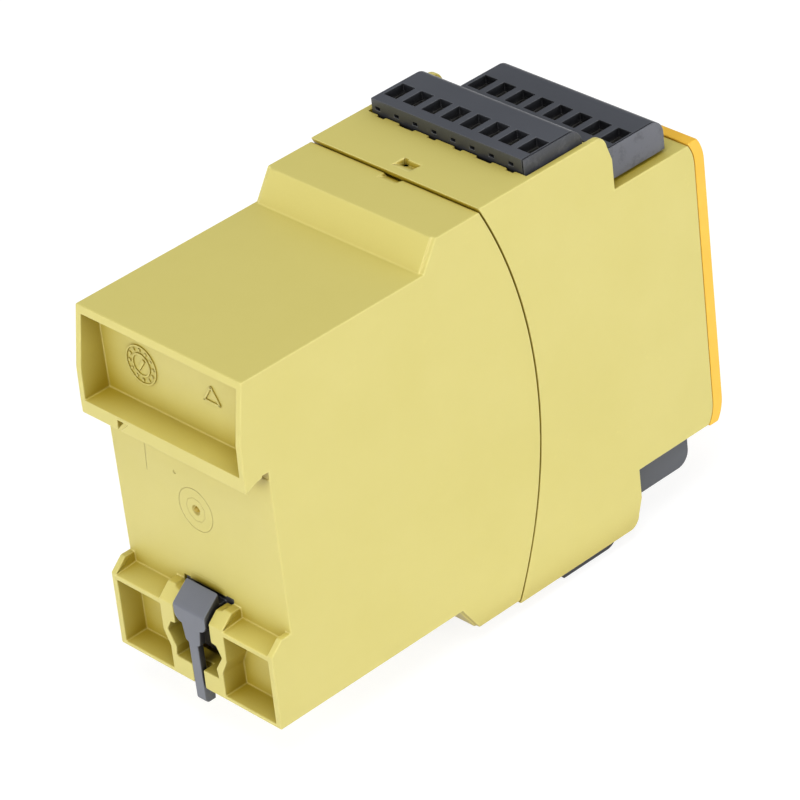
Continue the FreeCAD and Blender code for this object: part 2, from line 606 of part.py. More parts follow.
# ---------------------------------------------------------------------------------------------
# Rail latch: one moulding with a ramped head, a base plate in the guide, a stem and a pull tab
# ---------------------------------------------------------------------------------------------
def build_rail_latch():
    body = new_body("rail_latch")
    stem_front = "dim.latch_rear_y - dim.latch_plate"
    base_rear = "-dim.clearance"
    base_front = "dim.guide_front_y + dim.clearance"
    head = side_sketch(body)
    outline(head, [
        ("dim.latch_rail_y", "dim.latch_top_z"),
        ("dim.latch_rear_y - 0.3", "dim.latch_ramp_z"),
        ("dim.latch_rear_y", "dim.latch_ramp_z - 0.4"),
        ("dim.latch_rear_y", "dim.latch_head_z"),
        (base_front, "dim.latch_head_z"),
        (base_front, "dim.latch_web_z"),
        ("dim.latch_rail_y", "dim.latch_web_z"),
    ])
    pad(body, head, "2 * dim.latch_head_half", "both")

    base_half = "dim.guide_half - dim.clearance"
    base = face_sketch(body, base_rear)
    box_outline(base, f"-({base_half})", base_half, "dim.latch_base_z",
                "dim.guide_top_z - dim.clearance")
    pad(body, base, f"({base_rear}) - ({base_front})")

    stem = face_sketch(body, "dim.latch_rear_y")
    right = [
        ("dim.latch_head_half", "dim.latch_head_z + 1"),
        ("dim.latch_head_half", "dim.latch_head_z", "dim.latch_neck_round", 1),
        ("dim.latch_neck_half", "dim.latch_neck_z"),
        ("dim.latch_ledge_half", "dim.latch_ledge_z"),
        ("dim.latch_stem_half", "dim.latch_ledge_z - dim.latch_ledge_drop"),
        ("dim.latch_stem_half", "dim.latch_tab_top_z - 1"),
    ]
    left = [(f"-({x})", z, *((arc[0], -arc[1]) if arc else ()))
            for x, z, *arc in reversed_path(right)]
    outline(stem, right + left)
    pad(body, stem, "dim.latch_plate")

    tab = side_sketch(body)
    outline(tab, [
        (stem_front, "dim.latch_tab_top_z"),
        ("dim.latch_rear_y", "dim.latch_tab_top_z"),
        ("dim.latch_rear_y", "dim.latch_tab_z + dim.latch_tab_bevel"),
        ("dim.latch_rear_y - dim.latch_tab_bevel", "dim.latch_tab_z"),
        ("dim.latch_tab_y", "dim.latch_tab_z"),
        ("dim.latch_tab_y", "dim.latch_tab_z + dim.latch_tab_foot"),
        (stem_front, "dim.latch_tab_z + dim.latch_tab_foot + dim.latch_tab_bevel"),
    ])
    pad(body, tab, "2 * dim.latch_stem_half", "both")
    place(body)
    return body


# ---------------------------------------------------------------------------------------------
# Front shell: staircase of two terminal seats at the top and two at the bottom, then the nose
# ---------------------------------------------------------------------------------------------
def front_side(sign):
    """Upper (1) or lower (-1) edge of the front shell's side, from the seam to the nose."""
    return [
        ("dim.seam_y - dim.seam_gap", f"{sign} * dim.front_half"),
        ("dim.peak_y", f"{sign} * dim.front_half", "dim.peak_round", -sign),
        ("dim.peak_low_y", f"{sign} * dim.peak_low_z"),
        ("dim.notch_edge_y", f"{sign} * dim.notch_edge_z"),
        ("dim.notch_edge_y", f"{sign} * dim.nose_half"),
        ("dim.nose_top_y", f"{sign} * dim.nose_half", "dim.nose_round", -sign),
        ("dim.nose_y", f"{sign} * dim.nose_round_z"),
    ]


def reversed_path(path):
    """The same edges walked backwards: an arc then leaves from its other end."""
    points = [corner[:2] for corner in reversed(path)]
    arcs = [corner[2:] for corner in reversed(path)][1:] + [()]
    return [point + ((arc[0], -arc[1]) if arc else ()) for point, arc in zip(points, arcs)]


def front_outline():
    top = front_side(1)
    bottom = reversed_path(front_side(-1))
    seam_corner = bottom[-1]
    return top + bottom[:-1] + [(seam_corner[0], seam_corner[1], SEAM_RADIUS, 1)]


def front_cavity():
    """Inside of the front shell, open at the seam."""
    rear_wall = "dim.rear_seat_y + dim.skin"
    under_rear = "dim.rear_seat_z - dim.skin"
    step_wall = "dim.front_seat_y + dim.skin"
    under_front = "dim.nose_half - dim.skin"
    half = [
        ("dim.seam_y + 1", "dim.front_half - dim.skin"),
        (rear_wall, "dim.front_half - dim.skin"),
        (rear_wall, under_rear),
        (step_wall, under_rear),
        (step_wall, under_front),
        ("dim.nose_y + dim.skin", under_front),
    ]
    return half + [(y, f"-({z})") for y, z in reversed(half)]


def build_front_housing():
    body = new_body("front_housing")
    shell = side_sketch(body)
    outline(shell, front_outline())
    pad(body, shell, "dim.width", "both")
    cavity = side_sketch(body)
    outline(cavity, front_cavity())
    cut(body, cavity, INNER_WIDTH)

    for sign, _ in TOP_AND_BOTTOM:
        seat = side_sketch(body)
        outline(seat, [
            ("dim.rear_seat_y", f"{sign} * dim.rear_seat_z"),
            ("dim.notch_edge_y - 1", f"{sign} * dim.rear_seat_z"),
            ("dim.notch_edge_y - 1", f"{sign} * (dim.front_half + 1)"),
            ("dim.rear_seat_y", f"{sign} * (dim.front_half + 1)"),
        ])
        cut(body, seat, INNER_WIDTH)

        window = side_sketch(body)
        rear_end = "dim.seam_y - dim.snap_offset"
        front_end = "dim.seam_y - dim.snap_offset - dim.snap_length"
        outline(window, [
            (rear_end, f"{sign} * dim.front_half"),
            (front_end, f"{sign} * (dim.front_half - dim.snap_depth)"),
            (front_end, f"{sign} * (dim.front_half + 1)"),
            (rear_end, f"{sign} * (dim.front_half + 1)"),
        ])
        cut(body, window, "dim.snap_width")

        # comb in the edge towards the rear plug
        comb = plan_sketch(body, f"{sign} * dim.rear_seat_z")
        for index, width in enumerate(COMB_GAPS):
            middle = f"({index} - {(len(COMB_GAPS) - 1) / 2}) * dim.comb_pitch"
            box_outline(comb, f"{middle} - dim.{width} / 2", f"{middle} + dim.{width} / 2",
                        "dim.rear_seat_y - 1", "dim.rear_seat_y + dim.comb_depth")
        cut(body, comb, "dim.front_half", "forward" if sign > 0 else "back")

        # slots for the pin headers, in the walls behind the plugs
        for wall_y, seat_z in (("dim.rear_seat_y", "dim.rear_seat_z + dim.clearance"),
                               ("dim.notch_edge_y", "dim.nose_half + dim.front_seat_gap")):
            slot = face_sketch(body, f"{wall_y} + dim.skin + 0.5")
            pin_z = f"{sign} * ({seat_z} + dim.pin_height)"
            middle = f"{sign} * dim.plug_shift"
            box_outline(slot, f"{middle} - dim.header_half", f"{middle} + dim.header_half",
                        f"{pin_z} - dim.header_height / 2", f"{pin_z} + dim.header_height / 2")
            cut(body, slot, "dim.skin + 1", "forward")

    # posts for the indicator board and a window for the lenses
    post_length = "dim.nose_y + dim.skin / 2 - (dim.led_board_y - dim.board)"
    for sign, _ in TOP_AND_BOTTOM:
        post = face_sketch(body, "dim.led_board_y - dim.board")
        outer = f"{sign} * dim.led_board_half"
        inner = f"{sign} * (dim.led_board_half - dim.post)"
        low = "dim.led_z - dim.led_board_height / 2"
        box_outline(post, outer, inner, low, f"{low} + dim.post")
        pad(body, post, f"-({post_length})")
    window = face_sketch(body, "dim.nose_y + dim.skin + 1")
    window_half = "dim.led_spacing + dim.lens"
    box_outline(window, f"-({window_half})", window_half, "dim.led_z - dim.lens",
                "dim.led_z + dim.lens")
    cut(body, window, "dim.skin + 2", "forward")
    place(body)
    return body


def build_front_cover():
    """Cap over the nose; its rear face follows the nose at the joint line."""
    body = new_body("front_cover")

    def half(sign):
        return [
            ("dim.nose_top_y - dim.cover_gap", f"{sign} * dim.cover_half"),
            ("dim.cover_top_y", f"{sign} * dim.cover_half", "dim.cover_round", -sign),
            ("dim.cover_y", f"{sign} * dim.cover_round_z"),
        ]

    def inner(sign):
        return [
            ("dim.nose_y - dim.cover_gap", f"{sign} * dim.nose_round_z", "dim.nose_round", sign),
            ("dim.nose_top_y - dim.cover_gap", f"{sign} * dim.nose_half"),
        ]

    shell = side_sketch(body)
    bottom_outer = reversed_path(half(-1))
    bottom_inner = reversed_path(inner(-1))
    outline(shell, half(1) + bottom_outer + bottom_inner + inner(1))
    pad(body, shell, "dim.width", "both")
    label = face_sketch(body, "dim.cover_y")
    side = "dim.width / 2 - dim.label_inset"
    box_outline(label, f"-({side})", side, "-dim.cover_round_z", "dim.cover_round_z")
    cut(body, label, "dim.label_sink", "back")
    holes = face_sketch(body, "dim.cover_y - 1")
    for place_index in (-1, 0, 1):
        polygon(holes, f"{place_index} * dim.led_spacing", "dim.led_z", "dim.lens", 16)
    cut(body, holes, "dim.nose_y - dim.cover_y + 1", "back")
    place(body)
    return body


# ---------------------------------------------------------------------------------------------
# Terminal plug, in its own frame: rear face at y 0, underside at z 0, poles about x 0
# ---------------------------------------------------------------------------------------------
def plug_outline():
    return [
        ("0", "0"),
        ("0", "dim.plug_height"),
        ("-dim.plug_deck", "dim.plug_height", "dim.plug_round", -1),
        ("-dim.plug_depth", "dim.plug_height - dim.plug_round"),
        ("-dim.plug_depth", "0"),
    ]


WELL_FRONT = "-dim.well_rear - dim.well_length"
WELL_FLOOR = "dim.plug_height - dim.well_depth"
SCREW_FACE = "-dim.plug_depth + dim.screw_recess"


def build_plug_body(label):
    body = new_body(label)
    block_sketch = side_sketch(body, f"-{PLUG_END}")
    outline(block_sketch, plug_outline())
    pad(body, block_sketch, f"2 * {PLUG_END}")

    well = plan_sketch(body, "dim.plug_height")
    box_outline(well, f"{FIRST_POLE} - dim.well_width / 2", f"{FIRST_POLE} + dim.well_width / 2",
                WELL_FRONT, "-dim.well_rear")
    wells = cut(body, well, "dim.well_depth", "back")
    ledge = plan_sketch(body, "dim.plug_height")
    ledge_start = f"{FIRST_POLE} - dim.well_width / 2"
    box_outline(ledge, f"{ledge_start} - dim.well_ledge", f"{ledge_start} + dim.well_width / 2",
                WELL_FRONT, "-dim.well_rear")
    ledges = cut(body, ledge, "dim.well_ledge_depth", "back")
    head = face_sketch(body, "-dim.plug_depth - 1")
    polygon(head, FIRST_POLE, "dim.screw_height", "dim.screw_head + 2 * dim.screw_clearance", 12)
    heads = cut(body, head, "dim.screw_recess + dim.screw_head_height + 1", "back")
    shank = face_sketch(body, "-dim.plug_depth")
    polygon(shank, FIRST_POLE, "dim.screw_height", "dim.screw_thread + 2 * dim.thread_fit", 6)
    shanks = cut(body, shank, f"dim.plug_depth + ({WELL_FRONT}) + 0.5", "back")
    socket = face_sketch(body, "0")
    box_outline(socket, f"{FIRST_POLE} - dim.socket / 2", f"{FIRST_POLE} + dim.socket / 2",
                "dim.pin_height - dim.socket / 2", "dim.pin_height + dim.socket / 2")
    sockets = cut(body, socket, "dim.well_rear + 0.5", "forward")
    test_slot = face_sketch(body, "0")
    slot_low = "dim.test_slot_z - dim.test_slot_height / 2"
    slot_left = f"{FIRST_POLE} + dim.test_slot_shift - dim.test_slot_width / 2"
    box_outline(test_slot, slot_left, f"{slot_left} + dim.test_slot_width", slot_low,
                f"{slot_low} + dim.test_slot_height")
    test_slots = cut(body, test_slot, "dim.test_slot_depth", "forward")
    repeat(body, [wells, ledges, heads, shanks, sockets, test_slots], well, "dim.pitch", "dim.poles")
    return body


def build_end_plate(label):
    body = new_body(label)
    sketch = side_sketch(body, f"-{PLUG_END}")
    outline(sketch, plug_outline())
    pad(body, sketch, "dim.end_plate", "back")
    return body


def build_screws(label):
    """Clamp screws, one for each pole."""
    body = new_body(label)
    head = face_sketch(body, SCREW_FACE)
    polygon(head, FIRST_POLE, "dim.screw_height", "dim.screw_head", 12)
    heads = pad(body, head, "dim.screw_head_height", "back")
    shank = face_sketch(body, SCREW_FACE)
    polygon(shank, FIRST_POLE, "dim.screw_height", "dim.screw_thread", 6)
    shanks = pad(body, shank, f"({WELL_FRONT}) + dim.clamp_play - dim.screw_gap - ({SCREW_FACE})", "back")
    repeat(body, [heads, shanks], head, "dim.pitch", "dim.poles")
    return body


def build_clamps(label):
    """Steel cages that the screws draw onto the wires, one in each well."""
    body = new_body(label)
    half = "dim.well_width / 2 - dim.clamp_play"
    front = f"({WELL_FRONT}) + dim.clamp_play"
    rear = "-dim.well_rear - dim.clamp_play"
    cage = plan_sketch(body, f"{WELL_FLOOR} + dim.clamp_play")
    box_outline(cage, f"{FIRST_POLE} - ({half})", f"{FIRST_POLE} + ({half})", front, rear)
    cages = pad(body, cage, "dim.clamp_height")
    mouth = plan_sketch(body, WELL_FLOOR)
    box_outline(mouth, f"{FIRST_POLE} - ({half}) + dim.clamp_wall",
                f"{FIRST_POLE} + ({half}) - dim.clamp_wall",
                f"{front} + dim.clamp_wall", f"{rear} - dim.clamp_wall")
    mouths = cut(body, mouth, "dim.clamp_height + 1", "forward")
    repeat(body, [cages, mouths], cage, "dim.pitch", "dim.poles")
    return body


def build_contacts(label):
    """Square sleeves that grip the header's pins, one in each socket."""
    body = new_body(label)
    inner = "(dim.pin / 2 + dim.thread_fit)"
    outer = f"({inner} + dim.contact_wall)"
    sleeve = face_sketch(body, "-dim.clearance")
    box_outline(sleeve, f"{FIRST_POLE} - {outer}", f"{FIRST_POLE} + {outer}",
                f"dim.pin_height - {outer}", f"dim.pin_height + {outer}")
    sleeves = pad(body, sleeve, "dim.well_rear - dim.clearance")
    bore = face_sketch(body, "0")
    box_outline(bore, f"{FIRST_POLE} - {inner}", f"{FIRST_POLE} + {inner}",
                f"dim.pin_height - {inner}", f"dim.pin_height + {inner}")
    bores = cut(body, bore, "dim.well_rear + 1", "forward")
    repeat(body, [sleeves, bores], sleeve, "dim.pitch", "dim.poles")
    return body


def build_header(label, strip_length):
    """Insulating strip in the wall behind a plug, from the wall's front face to the board."""
    body = new_body(label)
    strip = face_sketch(body, "dim.plug_gap")
    half = "(dim.header_half - dim.thread_fit)"
    low = "dim.pin_height - dim.header_height / 2 + dim.thread_fit"
    high = "dim.pin_height + dim.header_height / 2 - dim.thread_fit"
    box_outline(strip, f"-{half}", half, low, high)
    pad(body, strip, strip_length, "back")
    bore = face_sketch(body, "0")
    box_outline(bore, f"{FIRST_POLE} - dim.pin / 2", f"{FIRST_POLE} + dim.pin / 2",
                "dim.pin_height - dim.pin / 2", "dim.pin_height + dim.pin / 2")
    bores = cut(body, bore, f"{strip_length} + 2", "back")
    repeat(body, [bores], bore, "dim.pitch", "dim.poles")
    return body


def build_pins(label, strip_length):
    """Square pins from behind the board, through the strip and into the plug."""
    body = new_body(label)
    pin = face_sketch(body, "-dim.pin_reach")
    box_outline(pin, f"{FIRST_POLE} - dim.pin / 2", f"{FIRST_POLE} + dim.pin / 2",
                "dim.pin_height - dim.pin / 2", "dim.pin_height + dim.pin / 2")
    length = f"dim.pin_reach + dim.plug_gap + {strip_length} + dim.board + dim.pin_tail"
    pins = pad(body, pin, length, "back")
    repeat(body, [pins], pin, "dim.pitch", "dim.poles")
    return body


ROWS = {
    "rear": {
        "y": "dim.rear_seat_y - dim.plug_gap",
        "z": "dim.rear_seat_z + dim.clearance",
        "strip": "(dim.rear_board_y - dim.board - dim.rear_seat_y)",
    },
    "front": {
        "y": "dim.front_seat_y - dim.plug_gap",
        "z": "dim.nose_half + dim.front_seat_gap",
        "strip": "(dim.front_board_y - dim.board - dim.front_seat_y)",
    },
}


def build_terminals():
    """Four identical plugs with their headers; the lower two are turned half round."""
    pieces = []
    for sign, height in TOP_AND_BOTTOM:
        for row, spot in ROWS.items():
            name = f"{height}_{row}"
            group = [
                build_plug_body(f"plug_{name}"),
                build_end_plate(f"plug_end_plate_{name}"),
                build_screws(f"terminal_screws_{name}"),
                build_clamps(f"wire_clamps_{name}"),
                build_contacts(f"contact_sleeves_{name}"),
                build_header(f"pin_header_{name}", spot["strip"]),
                build_pins(f"header_pins_{name}", spot["strip"]),
            ]
            for piece in group:
                place(piece, f"{sign} * dim.plug_shift", spot["y"], f"{sign} * ({spot['z']})",
                      turned=sign < 0)
            pieces += group
    return pieces


# ---------------------------------------------------------------------------------------------
# Circuit boards and what they carry
# ---------------------------------------------------------------------------------------------
def terminal_board(label, rear_y, half_height, pin_z):
    """Board across the enclosure with two rows of holes for the headers' pins."""
    body = new_body(label)
    edge = f"{INNER_HALF} - dim.clearance"
    sheet = face_sketch(body, rear_y)
    box_outline(sheet, f"-({edge})", edge, f"-({half_height})", half_height)
    pad(body, sheet, "dim.board")
    hole = face_sketch(body, rear_y)
    for sign, _ in TOP_AND_BOTTOM:
        middle = f"{sign} * ({pin_z})"
        pole = f"{FIRST_POLE} + {sign} * dim.plug_shift"
        box_outline(hole, f"{pole} - dim.pin / 2", f"{pole} + dim.pin / 2",
                    f"{middle} - dim.pin / 2", f"{middle} + dim.pin / 2")
    holes = cut(body, hole, "dim.board + 1", "forward")
    repeat(body, [holes], hole, "dim.pitch", "dim.poles")
    place(body)
    return body


def build_boards():
    rear_pin_z = "dim.rear_seat_z + dim.clearance + dim.pin_height"
    front_pin_z = "dim.nose_half + dim.front_seat_gap + dim.pin_height"
    rear_board = terminal_board("rear_terminal_board", "dim.rear_board_y",
                                "dim.front_half - dim.skin - dim.clearance", rear_pin_z)
    front_board = terminal_board("front_terminal_board", "dim.front_board_y",
                                 "dim.rear_seat_z - dim.skin - dim.clearance", front_pin_z)
    board_half = "dim.tail_half - dim.skin - dim.clearance"
    main_board = block("main_board", "dim.main_board_x - dim.board", "dim.main_board_x",
                       "dim.rear_board_y", "dim.main_board_rear_y",
                       f"-({board_half})", board_half)
    led_low = "dim.led_z - dim.led_board_height / 2"
    led_board = block("indicator_board", "-dim.led_board_half", "dim.led_board_half",
                      "dim.led_board_y - dim.board", "dim.led_board_y",
                      led_low, f"{led_low} + dim.led_board_height")
    return [rear_board, front_board, main_board, led_board]


def build_board_link(label, start_y, end_y, x, z):
    """Row of pins between two boards, one beside the other along Z."""
    body = new_body(label)
    half = "dim.link_pin / 2"
    pin = face_sketch(body, start_y)
    first = f"{x} - (dim.link_pins - 1) * dim.link_pitch / 2"
    box_outline(pin, f"{first} - {half}", f"{first} + {half}", f"{z} - {half}", f"{z} + {half}")
    pins = pad(body, pin, f"({start_y}) - ({end_y})")
    repeat(body, [pins], pin, "dim.link_pitch", "dim.link_pins")
    place(body)
    return body


def build_relays():
    relays = []
    for index in range(3):
        low = f"dim.relay_low_z + {index} * dim.relay_pitch"
        relays.append(block(f"guided_relay_{index + 1}", "dim.main_board_x",
                            "dim.main_board_x + dim.relay_height",
                            "dim.relay_rear_y - dim.relay_length", "dim.relay_rear_y",
                            low, f"{low} + dim.relay_thick"))
    return relays


def build_transformer():
    """Three-legged core and the winding on its middle leg."""
    x_low = "dim.main_board_x"
    y_high = "dim.relay_rear_y"
    y_low = f"({y_high} - dim.core_length)"
    z_low = "dim.core_low_z"
    core = new_body("transformer_core")
    sheet = side_sketch(core, x_low)
    box_outline(sheet, y_low, y_high, z_low, f"{z_low} + dim.core_width")
    pad(core, sheet, "dim.core_height")
    windows = plan_sketch(core, f"{z_low} - 1")
    leg_middle = f"({y_high} - dim.core_length / 2)"
    window_low = f"{x_low} + dim.core_leg"
    window_high = f"{x_low} + dim.core_height - dim.core_leg"
    box_outline(windows, window_low, window_high, f"{y_low} + dim.core_leg / 2",
                f"{leg_middle} - dim.core_leg / 2")
    box_outline(windows, window_low, window_high, f"{leg_middle} + dim.core_leg / 2",
                f"{y_high} - dim.core_leg / 2")
    cut(core, windows, "dim.core_width + 2", "forward")
    place(core)

    winding = new_body("transformer_winding")
    ring = side_sketch(winding, f"{window_low} + dim.winding_play")
    reach = "dim.core_length / 2 - dim.core_leg / 2 - dim.winding_play"
    inner_y = "dim.core_leg / 2 + dim.winding_play"
    over = "dim.winding_play"
    coil = "(dim.core_leg / 2)"
    box_outline(ring, f"{leg_middle} - ({reach})", f"{leg_middle} + {reach}",
                f"{z_low} - {over} - {coil}", f"{z_low} + dim.core_width + {over} + {coil}")
    box_outline(ring, f"{leg_middle} - ({inner_y})", f"{leg_middle} + {inner_y}",
                f"{z_low} - {over}", f"{z_low} + dim.core_width + {over}")
    pad(winding, ring, "dim.core_height - 2 * dim.core_leg - 2 * dim.winding_play")
    place(winding)
    return [core, winding]


def build_capacitors():
    """Two smoothing capacitors beside the transformer."""
    body = new_body("capacitors")
    sketch = side_sketch(body, "dim.main_board_x")
    rear_y = "dim.relay_rear_y - dim.core_length - dim.capacitor"
    polygon(sketch, rear_y, "dim.core_low_z + dim.capacitor / 2", "dim.capacitor", 12)
    polygon(sketch, rear_y, "dim.core_low_z + 1.7 * dim.capacitor", "dim.capacitor", 12)
    pad(body, sketch, "dim.capacitor_height")
    place(body)
    return body


def build_indicators():
    """Three status indicators on their board, and the lenses in front of them."""
    lights = new_body("status_indicators")
    sketch = face_sketch(lights, "dim.led_board_y - dim.board")
    box_outline(sketch, "-dim.led_spacing - dim.led / 2", "-dim.led_spacing + dim.led / 2",
                "dim.led_z - dim.led / 2", "dim.led_z + dim.led / 2")
    stems = pad(lights, sketch, "dim.led_height")
    repeat(lights, [stems], sketch, "dim.led_spacing", "3")
    place(lights)

    lenses = new_body("indicator_lenses")
    sketch = face_sketch(lenses, "dim.cover_y - dim.lens_proud")
    polygon(sketch, "-dim.led_spacing", "dim.led_z", "dim.lens - 2 * dim.thread_fit", 16)
    rods = pad(lenses, sketch, "dim.nose_y + dim.skin - dim.cover_y + dim.lens_proud", "back")
    repeat(lenses, [rods], sketch, "dim.led_spacing", "3")
    place(lenses)
    return [lights, lenses]


# ---------------------------------------------------------------------------------------------
# Build, check and export
# ---------------------------------------------------------------------------------------------
parts = [build_rear_housing(), build_front_housing(), build_front_cover(), build_rail_latch()]
parts += build_terminals()
parts += build_boards()
parts.append(build_board_link("board_link", "dim.rear_board_y - dim.board", "dim.front_board_y",
                              "0", "-dim.link_drop"))
parts += build_relays()
parts += build_transformer()
parts.append(build_capacitors())
parts += build_indicators()
doc.recompute()

for item in doc.Objects:
    if {"Invalid", "Error"} & set(item.State):
        raise RuntimeError(f"{item.Name} did not build: {item.State}")
for part in parts:
    if part.Shape.isNull() or not part.Shape.isValid():
        raise RuntimeError(f"{part.Label} has no sound shape")

os.makedirs("parts", exist_ok=True)
for part in parts:
    part.Shape.exportStep(f"parts/{part.Label}.step")
print(f"{len(parts)} pieces written")
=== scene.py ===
"""Looks of the rail-mounted safety relay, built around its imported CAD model."""

import json
import math

import bmesh
import bpy
from mathutils import Matrix, Vector

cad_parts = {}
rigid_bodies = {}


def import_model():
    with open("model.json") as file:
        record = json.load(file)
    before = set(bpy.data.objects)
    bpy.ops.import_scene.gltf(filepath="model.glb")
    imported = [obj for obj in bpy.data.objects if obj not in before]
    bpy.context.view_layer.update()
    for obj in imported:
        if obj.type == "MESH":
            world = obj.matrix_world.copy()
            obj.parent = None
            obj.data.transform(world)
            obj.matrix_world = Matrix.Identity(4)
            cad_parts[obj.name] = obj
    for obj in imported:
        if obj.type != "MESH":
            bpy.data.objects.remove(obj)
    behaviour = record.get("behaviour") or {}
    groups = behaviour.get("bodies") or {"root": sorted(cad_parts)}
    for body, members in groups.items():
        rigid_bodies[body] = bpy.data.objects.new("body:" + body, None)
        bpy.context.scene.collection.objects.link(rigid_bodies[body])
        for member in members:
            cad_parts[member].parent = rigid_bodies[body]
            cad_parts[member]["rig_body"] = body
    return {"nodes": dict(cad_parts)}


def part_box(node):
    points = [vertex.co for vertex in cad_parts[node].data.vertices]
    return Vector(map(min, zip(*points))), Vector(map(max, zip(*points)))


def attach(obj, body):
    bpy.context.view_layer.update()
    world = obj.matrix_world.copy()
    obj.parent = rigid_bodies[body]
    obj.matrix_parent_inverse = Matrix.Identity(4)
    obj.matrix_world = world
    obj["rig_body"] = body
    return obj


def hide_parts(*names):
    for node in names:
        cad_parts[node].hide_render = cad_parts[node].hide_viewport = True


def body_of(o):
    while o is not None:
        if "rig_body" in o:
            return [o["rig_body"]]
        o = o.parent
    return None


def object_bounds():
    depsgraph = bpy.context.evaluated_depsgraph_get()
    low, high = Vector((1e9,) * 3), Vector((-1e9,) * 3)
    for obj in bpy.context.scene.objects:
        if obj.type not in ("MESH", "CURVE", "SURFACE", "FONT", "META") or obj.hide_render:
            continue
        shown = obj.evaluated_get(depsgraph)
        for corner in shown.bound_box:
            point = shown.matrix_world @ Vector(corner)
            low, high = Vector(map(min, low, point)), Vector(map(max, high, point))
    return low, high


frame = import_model()
cad_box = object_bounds()
MM = 0.001
RISE = 0.9  # middle of the case above the middle of the rail, mm

# camera: angles in degrees, lengths in mm
AZIMUTH = 229.624
ELEVATION = 32.393
ROLL = -6.954
AIM = (0, -45, RISE)
DISTANCE = 835.4
SHIFT_RIGHT = 5.201
SHIFT_UP = 0.051
SENSOR_WIDTH = 36
FOCAL_LENGTH = 199.089

# meshes: lengths in metres, angles in degrees
MERGE_DISTANCE = 2e-6
FLAT_LIMIT = 1.0
ROUNDED_ABOVE = 24.0
SHARP_ABOVE = 36.0

# roundings and joints, mm
SHELL_ROUND = 0.25
COVER_ROUND = 0.2
LATCH_ROUND = 0.22
PLUG_ROUND = 0.1
PLATE_ROUND = 0.12
PLATE_JOINT = 0.22

# plugs and their clamp screws, mm
POLES = 8
WELL_GAP = 0.15
WELL_WIDENING = 1.04  # reaches past the corners of the many-sided wells
SCREW_SINK = 0.7
HEAD_HEIGHT = 1.8
HEAD_BEVEL = 0.25
SHANK_RADIUS = 0.98
SLOT_HALF = 0.27
SLOT_DEPTH = 0.9
FIRST_TURN = 20  # degrees
NEXT_TURN = 47

# snap windows of the front shell, mm
SNAP_OFFSET = 2.2
SNAP_LENGTH = 3.2
SNAP_HOLE_DEPTH = 2.8

# moulded marks in the pocket, mm
POCKET_BACK = -0.5
MARK_HEIGHT = 0.28
MARK_ROOT = 0.2

# lenses, mm
LENS_SIDES = 32
LENS_STEPS = 6
LENS_DOME = 0.45

# floor and light, metres and watts
FLOOR_HALF = 4.0
FLOOR_DROP = 0.0002
LIGHT_TARGET = (0.0, -0.05, 0.0)
LIGHTS = (
    ("left", (-1.1, -0.4, 0.42), 0.7, 6.9),
    ("behind", (-0.15, 1.2, 0.45), 0.7, 8.7),
    ("right", (1.25, 0.1, 0.3), 0.8, 4.5),
    ("front", (-0.1, -1.25, 0.25), 0.8, 2.5),
    ("top", (-0.35, 0.25, 1.3), 0.8, 9.0),
)


# ------------------------------------------------------------------------------------------
# Camera
# ------------------------------------------------------------------------------------------
def make_camera():
    """Camera that looks down on the rail side from behind the object's left."""
    azimuth = math.radians(AZIMUTH)
    elevation = math.radians(ELEVATION)
    roll = math.radians(ROLL)
    back = Vector((math.sin(azimuth) * math.cos(elevation),
                   -math.cos(azimuth) * math.cos(elevation), math.sin(elevation)))
    right = (-back).cross(Vector((0, 0, 1))).normalized()
    up = right.cross(-back)
    right_rolled = right * math.cos(roll) + up * math.sin(roll)
    up_rolled = up * math.cos(roll) - right * math.sin(roll)
    place = (Vector(AIM) + back * DISTANCE + right_rolled * SHIFT_RIGHT
             + up_rolled * SHIFT_UP) * MM
    data = bpy.data.cameras.new("camera")
    data.sensor_width = SENSOR_WIDTH
    data.lens = FOCAL_LENGTH
    data.clip_start = 0.01
    camera = bpy.data.objects.new("camera", data)
    bpy.context.scene.collection.objects.link(camera)
    matrix = camera.matrix_world.copy()
    for row in range(3):
        matrix[row][0] = right_rolled[row]
        matrix[row][1] = up_rolled[row]
        matrix[row][2] = back[row]
        matrix[row][3] = place[row]
    camera.matrix_world = matrix
    bpy.context.scene.camera = camera


# ------------------------------------------------------------------------------------------
# Materials
# ------------------------------------------------------------------------------------------
def srgb(red, green, blue):
    """Linear colour from an 8-bit one."""
    def linear(value):
        value /= 255
        return value / 12.92 if value <= 0.04045 else ((value + 0.055) / 1.055) ** 2.4
    return (linear(red), linear(green), linear(blue), 1.0)


